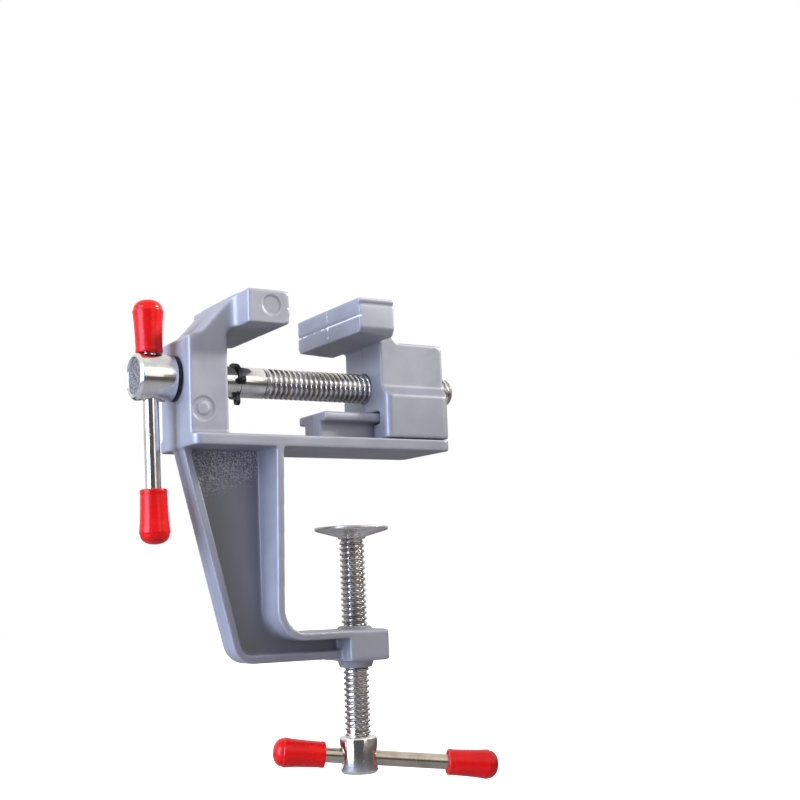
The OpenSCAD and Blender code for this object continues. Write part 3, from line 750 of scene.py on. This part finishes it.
def thread_tree():
    """Tree that turns a cylinder into a right-hand thread"""
    tree = bpy.data.node_groups.get("Screw_Thread")
    if tree:
        return tree
    tree = bpy.data.node_groups.new("Screw_Thread", "GeometryNodeTree")
    tree.is_modifier = True
    tree.interface.new_socket("Geometry", in_out="OUTPUT", socket_type="NodeSocketGeometry")
    for label, kind, value in THREAD_INPUTS:
        tree.interface.new_socket(label, in_out="INPUT", socket_type="NodeSocket" + kind).default_value = value
    tree.interface.new_socket("Finish", in_out="INPUT", socket_type="NodeSocketMaterial")
    w = Wiring(tree)
    given = w.node("NodeGroupInput").outputs
    blank = w.node("GeometryNodeMeshCylinder", {"Vertices": given["Around"], "Side Segments": given["Along"],
                                                "Radius": given["Radius"], "Depth": given["Length"]}, fill_type="NGON")
    at = w.parts(w.node("GeometryNodeInputPosition").outputs[0])
    up = w.math("ADD", at["Z"], w.math("MULTIPLY", given["Length"], 0.5))
    turn = w.math("DIVIDE", w.math("ARCTAN2", at["Y"], at["X"]), 2 * math.pi)
    phase = w.math("FRACT", w.math("SUBTRACT", w.math("DIVIDE", up, given["Pitch"]), turn))
    wave = w.math("ABSOLUTE", w.math("SUBTRACT", w.math("MULTIPLY", phase, 2.0), 1.0))
    low = w.math("SUBTRACT", 1.0, w.ramp(wave, FLANK_START, FLANK_END, smooth=False))
    run_in = w.math("DIVIDE", up, given["Run In"], clamp=True)
    tip = w.math("DIVIDE", w.math("SUBTRACT", given["Length"], up), given["Tip Taper"], clamp=True)
    root = w.math("MULTIPLY", low, run_in)
    groove = w.math("MULTIPLY", root, given["Depth"])
    taper = w.math("MULTIPLY", w.math("SUBTRACT", 1.0, tip), given["Depth"])
    radius = w.math("SUBTRACT", given["Radius"], w.math("MAXIMUM", groove, taper))
    wide = w.math("SQRT", w.math("ADD", w.math("MULTIPLY", at["X"], at["X"]), w.math("MULTIPLY", at["Y"], at["Y"])))
    grow = w.math("DIVIDE", radius, w.math("MAXIMUM", wide, 1e-6))
    spot = w.node("ShaderNodeCombineXYZ", {"X": w.math("MULTIPLY", at["X"], grow),
                                           "Y": w.math("MULTIPLY", at["Y"], grow), "Z": at["Z"]})
    # Stores the roots, which the plating darkens with painted shade
    roots_to_shade = w.node("GeometryNodeStoreNamedAttribute", {"Geometry": blank.outputs["Mesh"], "Name": "root",
                                                         "Value": root}, data_type="FLOAT", domain="POINT")
    shaped = w.node("GeometryNodeSetPosition", {"Geometry": roots_to_shade.outputs[0], "Position": spot.outputs[0]})
    whole = w.node("GeometryNodeRealizeInstances", {"Geometry": shaped.outputs[0]})
    coated = w.node("GeometryNodeSetMaterial", {"Geometry": whole.outputs[0], "Material": given["Finish"]})
    w.node("NodeGroupOutput", {"Geometry": coated.outputs[0]})
    return tree


def thread(tall, radius, run_in, tip, place):
    """Threaded rod from its start at local Z zero, placed; its sizes are in mm"""
    sizes = bpy.context.scene.vise.screw
    tree = thread_tree()
    made = loose_object("thread", bpy.data.meshes.new("thread"))
    rod = made.modifiers.new("Thread", "NODES")
    rod.node_group = tree
    values = {"Length": tall * MM, "Radius": radius * MM, "Pitch": sizes.pitch, "Depth": sizes.depth,
              "Run In": run_in * MM, "Tip Taper": tip * MM, "Around": sizes.around,
              "Along": int(tall * MM / sizes.pitch * sizes.per_turn), "Finish": plated_steel()}
    for socket in tree.interface.items_tree:
        if socket.in_out == "INPUT":
            rod[socket.identifier] = values[socket.name]
    mesh = baked(made)
    mesh.transform(place @ Matrix.Translation((0, 0, tall * MM / 2)))
    return mesh


# Castings

def softness(x, y, z, node):
    """How far a spot of a casting is rounded, from where it lies in mm: less on fine forms and running faces"""
    bore = np.hypot(y, z - SCREW_HEIGHT) < BORE_ZONE
    grooved = (abs(y) < GROOVE_END) & (z > GROOVE_SPAN[0]) & (z < GROOVE_SPAN[1])
    if node == "vise_frame":
        boss_bore = (np.hypot(x, y) < BOSS_BORE_ZONE) & (z < BOSS_BORE_TOP)
        fine = ((abs(x - FIXED_FACE) < FACE_ZONE) & grooved) | (bore & (x < BORE_END)) | boss_bore
        running = (x > RAIL_START) & (z > RAIL_FOOT)
    else:
        fine = ((abs(x - MOVING_FACE) < FACE_ZONE) & grooved) | bore
        running = (z < SLOT_TOP) & (abs(y) < SLOT_SIDE)
    return np.where(fine, FINE_SHARE, np.where(running, RUNNING_SHARE, 1.0))


def smoothing(made, name, weights, steps):
    """Smooths an object step by step where its weights allow"""
    group = made.vertex_groups.new(name=name)
    for value in np.unique(weights):
        if value > 0:
            group.add(np.flatnonzero(weights == value).tolist(), float(value), "REPLACE")
    relax = made.modifiers.new(name, "SMOOTH")
    relax.factor = 0.5
    relax.iterations = steps
    relax.vertex_group = name


def spots(mesh):
    """Places of a mesh's points as three rows, in metres"""
    flat = np.empty(len(mesh.vertices) * 3)
    mesh.vertices.foreach_get("co", flat)
    return flat.reshape(-1, 3).T


def rounded_casting(node):
    """Copy of a casting with edges and corners rounded as in a mould"""
    sizes = bpy.context.scene.vise.casting
    bm = bmesh.new()
    bm.from_mesh(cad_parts[node].data)
    bmesh.ops.remove_doubles(bm, verts=bm.verts, dist=2e-6)
    made = loose_object(node + "_blank", plain_mesh(bm, node))
    skin = made.modifiers.new("Skin", "REMESH")
    skin.mode = "VOXEL"
    skin.voxel_size = sizes.skin
    made = loose_object(node + "_soft", baked(made))
    x, y, z = spots(made.data) / MM
    smoothing(made, "edges", softness(x, y, z, node), sizes.edge_steps)
    if node == "vise_frame":
        boss = (x > BOSS_START) & (z < BOSS_TOP) & (x * x + y * y > BOSS_CORE)
        smoothing(made, "boss", boss * 1.0, sizes.boss_steps)
        jaw_mark = PIN_MARKS[0][1]
        nose = (abs(x - FIXED_FACE) < NOSE_ZONE) & (z > NOSE_FOOT) & (abs(z - jaw_mark) > NOSE_GAP)
    else:
        nose = (x > FAR_EDGE) & (z > FAR_FOOT)
    smoothing(made, "nose", nose * 1.0, sizes.nose_steps)
    mesh = baked(made)
    mould_marks(mesh, node)
    mark_edges(mesh, sizes.skin)
    made = loose_object(node + "_flat", mesh)
    flats = made.modifiers.new("Flats", "DECIMATE")
    flats.decimate_type = "DISSOLVE"
    flats.angle_limit = math.radians(0.5)
    made = loose_object(node + "_even", baked(made))
    made.data.shade_smooth()
    made.modifiers.new("Even shading", "WEIGHTED_NORMAL").weight = 60
    return baked(made)


def eased(share):
    """Soft step from zero to one"""
    share = np.clip(share, 0.0, 1.0)
    return share * share * (3 - 2 * share)


def mould_marks(mesh, node):
    """Presses in ejector pin marks, the groove under the lip of the jaw bar's ends and the mould's seam"""
    place = spots(mesh)
    x, y, z = place / MM
    if node == "vise_frame":
        sink = np.zeros_like(y)
        for across, height, radius, depth, front in PIN_MARKS:
            away = np.hypot(x - across, z - height)
            sink += np.where(y < front, depth * eased((radius + PIN_SLOPE - away) / (2 * PIN_SLOPE)), 0.0)
    else:
        groove = eased((z - LIP_LOW) / LIP_LOW_SLOPE) * eased((LIP_HIGH - z) / LIP_HIGH_SLOPE)
        sink = np.where(abs(y) > LIP_FRONT, -np.sign(y) * LIP_DEPTH * groove, 0.0)
    normals = np.array([n.vector for n in mesh.vertex_normals]).T
    seam = np.where(abs(normals[1]) < SEAM_TURN, SEAM_DEPTH * eased((SEAM_HALF - abs(y)) / SEAM_SLOPE), 0.0)
    place[1] += sink * MM
    place -= normals * seam * MM
    mesh.vertices.foreach_set("co", place.T.ravel())


def mark_edges(mesh, step):
    """Edge attribute: towards one along rounded outer edges, towards minus one in fillets"""
    place = spots(mesh).T
    pairs = np.empty(len(mesh.edges) * 2, dtype=np.int64)
    mesh.edges.foreach_get("vertices", pairs)
    a, b = pairs.reshape(-1, 2).T
    around = np.zeros_like(place)
    count = np.zeros(len(place))
    for one, other in ((a, b), (b, a)):
        np.add.at(around, one, place[other])
        np.add.at(count, one, 1)
    normals = np.array([n.vector for n in mesh.vertex_normals])
    bend = -((around / count[:, None] - place) * normals).sum(1) / (step * FULL_BEND)
    edge = mesh.attributes.new("edge", "FLOAT", "POINT")
    edge.data.foreach_set("value", np.clip(bend, -1.0, 1.0).astype(np.float32))


# Operators

class VISE_OT_castings(bpy.types.Operator):
    """Round and coat the frame and the movable jaw"""
    bl_idname = "vise.castings"
    bl_label = "Castings"

    def execute(self, context):
        finished("frame_casting", rounded_casting("vise_frame"), [cast_grey()], "frame", "paint", "vise_frame")
        finished("jaw_casting", rounded_casting("movable_jaw"), [cast_grey()], "jaw", "paint", "movable_jaw")
        return {"FINISHED"}


class VISE_OT_jaw_screw(bpy.types.Operator):
    """Turn the jaw screw with its head, shank and thread"""
    bl_idname = "vise.jaw_screw"
    bl_label = "Jaw screw"

    def execute(self, context):
        blank = lathe(softened(JAW_SCREW), HEAD_STEPS, along((1, 0, 0), (0, 0, SCREW_HEIGHT)))
        head = drilled(blank, JAW_HOLE, along((0, 0, 1), (JAW_CROSS, 0, SCREW_HEIGHT)))
        start, *sizes = JAW_THREAD
        whole = joined(head, thread(*sizes, along((1, 0, 0), (start, 0, SCREW_HEIGHT))))
        shade(whole, METAL_SHARP)
        materials = [plated_steel(), dressed("Forged_End", paint_forged)]
        piece = finished("jaw_screw_turned", whole, materials, "jaw_screw", "plated", "jaw_screw")
        for face in piece.data.polygons:
            x, y, z = face.center / MM
            at_end = x < HEAD_END and math.hypot(y, z - SCREW_HEIGHT) < HEAD_END_RADIUS
            face.material_index = 1 if at_end and abs(face.normal.x) > 0.9 else 0
        return {"FINISHED"}


class VISE_OT_clamp_screw(bpy.types.Operator):
    """Turn the clamp screw with its head, thread and riveted tip"""
    bl_idname = "vise.clamp_screw"
    bl_label = "Clamp screw"

    def execute(self, context):
        upright = Matrix.Identity(4)
        turn = math.radians(CLAMP_TURN)
        blank = lathe(softened(CLAMP_HEAD), HEAD_STEPS, upright)
        head = drilled(blank, CLAMP_HOLE, along((math.cos(turn), math.sin(turn), 0), (0, 0, CLAMP_CROSS)))
        start, *sizes = CLAMP_THREAD
        rod = thread(*sizes, Matrix.Translation((0, 0, start * MM)))
        whole = joined(head, rod, lathe(softened(CLAMP_TIP), HOLE_STEPS, upright))
        shade(whole, METAL_SHARP)
        finished("clamp_screw_turned", whole, [plated_steel()], "clamp_screw", "plated", "clamp_screw")
        return {"FINISHED"}


class VISE_OT_pad(bpy.types.Operator):
    """Turn the dished pressure pad"""
    bl_idname = "vise.pad"
    bl_label = "Pressure pad"

    def execute(self, context):
        mesh = lathe(softened(PAD), PAD_STEPS, Matrix.Identity(4))
        shade(mesh, METAL_SHARP)
        finished("pressure_pad_turned", mesh, [pressed_steel()], "pad", "plated", "pressure_pad")
        return {"FINISHED"}


class VISE_OT_bars(bpy.types.Operator):
    """Finish the sliding bars, the washer and the spring ring"""
    bl_idname = "vise.bars"
    bl_label = "Bars, washer and ring"

    def execute(self, context):
        for node, material in (("jaw_bar", plated_steel), ("clamp_bar", brown_reflection_steel),
                               ("thrust_washer", blackened_steel), ("retaining_clip", blackened_steel)):
            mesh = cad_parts[node].data
            mesh.materials.clear()
            mesh.materials.append(material())
        return {"FINISHED"}


class VISE_OT_caps(bpy.types.Operator):
    """Dip the four soft caps"""
    bl_idname = "vise.caps"
    bl_label = "Soft caps"

    def execute(self, context):
        lean, turn, droop = (math.radians(angle) for angle in (JAW_LEAN, CLAMP_TURN, CLAMP_DROOP))
        steep = Vector((-math.sin(lean), 0, math.cos(lean)))
        flat = Vector((math.cos(turn) * math.cos(droop), math.sin(turn) * math.cos(droop), -math.sin(droop)))
        bars = {"jaw_bar": (Vector((JAW_CROSS, 0, SCREW_HEIGHT)), steep),
                "clamp_bar": (Vector((0, 0, CLAMP_CROSS)), flat)}
        for name, body, side, distance in CAPS:
            hole, axis = bars[body]
            way = axis * side
            mesh = self.cap(context.scene.vise.cap, along(way, hole + way * distance))
            finished(name + "_dipped", mesh, [dressed("Red_Vinyl", paint_vinyl)], body, "cap", name)
        return {"FINISHED"}

    def cap(self, sizes, place):
        """Hollow cap with a rolled lip, a waist and a creased dome"""
        tall, wide, end = sizes.long / MM, sizes.open_width / MM / 2, sizes.end_width / MM / 2
        lip, dome = sizes.lip / MM, sizes.end_radius / MM
        crease, rise = end - CAP_CREASE_INSET, dome - CAP_CREASE_RISE
        body = softened([
            (0, tall - CAP_WALL, 0), (CAP_BORE, tall - CAP_WALL, 0), (CAP_BORE, 0, 0.15), (wide + CAP_ROLL, 0, lip),
            (wide + CAP_ROLL, 0.9, 0.4), (wide, 1.4, 0.6), (wide + 0.1, 4.5, 8.0), (wide + 0.25, 8.0, 6.0),
            (end, tall - dome, 0.5), (crease, tall - rise, 0)], 6)
        curve = [(math.pi / 2 * k / DOME_STEPS) for k in range(1, DOME_STEPS)]
        round_end = [(crease * math.cos(t) ** DOME_POWER, tall - rise * (1 - math.sin(t))) for t in curve]
        mesh = lathe(body + round_end + [Vector((0, tall))], CAP_STEPS, place)
        shade(mesh, CAP_SHARP)
        return mesh


class VISE_OT_stage(bpy.types.Operator):
    """Set up the floor, the lights and the camera"""
    bl_idname = "vise.stage"
    bl_label = "Floor, lights and camera"

    def execute(self, context):
        sizes = context.scene.vise.stage
        self.floor(sizes)
        self.sky(context.scene, sizes)
        for name, place, target, wide, tall, power, tone in PANEL_LIGHTS:
            self.panel_light(name, place, target, wide, tall, power, tone)
        self.key_light()
        self.camera(context.scene, sizes.lens)
        context.scene.view_settings.view_transform = "Standard"
        return {"FINISHED"}

    def floor(self, sizes):
        """Wide floor under the lowest piece"""
        half, height = sizes.floor_size / 2, CAD_BOX[0][2] - sizes.floor_drop
        mesh = bpy.data.meshes.new("floor")
        corners = [(-half, -half, height), (half, -half, height), (half, half, height), (-half, half, height)]
        mesh.from_pydata(corners, [], [(0, 1, 2, 3)])
        mesh.materials.append(dressed("Pale_Floor", paint_floor))
        loose_object("floor", mesh)

    def sky(self, scene, sizes):
        """Soft room: dark in front, pale behind and above, white where the camera sees it"""
        scene.world = bpy.data.worlds.new("Studio")
        scene.world.use_nodes = True
        scene.world.node_tree.nodes.clear()
        w = Wiring(scene.world.node_tree)
        way = w.parts(w.node("ShaderNodeTexCoord").outputs["Generated"])
        ray = w.node("ShaderNodeLightPath").outputs
        tone = w.mix(w.ramp(way["X"], *RIGHT_FADE), sizes.room, sizes.room_right)
        tone = w.mix(w.ramp(way["Y"], *BACK_FADE), tone, sizes.behind)
        above = w.mix(ray["Is Glossy Ray"], sizes.ceiling, sizes.ceiling_shine)
        tone = w.mix(w.ramp(way["Z"], *UP_FADE), tone, above)
        tone = w.mix(ray["Is Camera Ray"], tone, WHITE)
        light = w.node("ShaderNodeBackground", {"Color": tone, "Strength": 1.0})
        w.node("ShaderNodeOutputWorld", {"Surface": light.outputs[0]})

    def panel_light(self, name, place, target, wide, tall, power, tone):
        """Rectangle of soft light"""
        data = bpy.data.lights.new(name, "AREA")
        data.shape = "RECTANGLE"
        data.size = wide
        data.size_y = tall
        data.energy = power
        data.color = tone
        self.aimed(name, data, place, target)

    def key_light(self):
        """Soft spot on the upper part of the vise"""
        data = bpy.data.lights.new("key_light", "SPOT")
        data.energy = KEY_POWER
        data.shadow_soft_size = KEY_SIZE
        data.spot_size = math.radians(KEY_CONE)
        data.spot_blend = 1.0
        self.aimed("key_light", data, KEY_PLACE, KEY_AIM).scale.x = KEY_STRETCH

    def aimed(self, name, data, place, target):
        """A lamp at its place, turned to its target"""
        lamp = loose_object(name, data)
        lamp.location = place
        lamp.rotation_euler = (Vector(target) - Vector(place)).to_track_quat("-Z", "Y").to_euler()
        return lamp

    def camera(self, scene, lens):
        """Camera at the photo's angle"""
        data = bpy.data.cameras.new("photo_view")
        data.lens = lens
        data.sensor_width = CAMERA_SENSOR
        data.shift_x = CAMERA_SHIFT
        data.shift_y = CAMERA_SHIFT
        data.clip_start = CAMERA_CLIP
        made = loose_object("photo_view", data)
        made.matrix_world = Matrix(CAMERA_PLACE)
        scene.camera = made


OPERATORS = (VISE_OT_castings, VISE_OT_jaw_screw, VISE_OT_clamp_screw, VISE_OT_pad, VISE_OT_bars, VISE_OT_caps,
             VISE_OT_stage)


class VISE_PT_pieces(bpy.types.Panel):
    """Pieces of the vise"""
    bl_idname = "VISE_PT_pieces"
    bl_label = "Table vise"
    bl_space_type = "VIEW_3D"
    bl_region_type = "UI"
    bl_category = "Vise"

    def draw(self, context):
        for operator in OPERATORS:
            self.layout.operator(operator.bl_idname)
        for group in ("casting", "screw", "cap", "stage"):
            box = self.layout.box()
            settings = getattr(context.scene.vise, group)
            for key in settings.__annotations__:
                box.prop(settings, key)


CLASSES = (CastingSettings, ScrewSettings, CapSettings, StageSettings, ViseSettings) + OPERATORS + (VISE_PT_pieces,)


def register():
    for cls in CLASSES:
        bpy.utils.register_class(cls)
    bpy.types.Scene.vise = PointerProperty(type=ViseSettings)


def unregister():
    del bpy.types.Scene.vise
    for cls in reversed(CLASSES):
        bpy.utils.unregister_class(cls)


def main():
    register()
    bpy.ops.vise.castings()
    bpy.ops.vise.jaw_screw()
    bpy.ops.vise.clamp_screw()
    bpy.ops.vise.pad()
    bpy.ops.vise.bars()
    bpy.ops.vise.caps()
    bpy.ops.vise.stage()


if __name__ == "__main__":
    main()
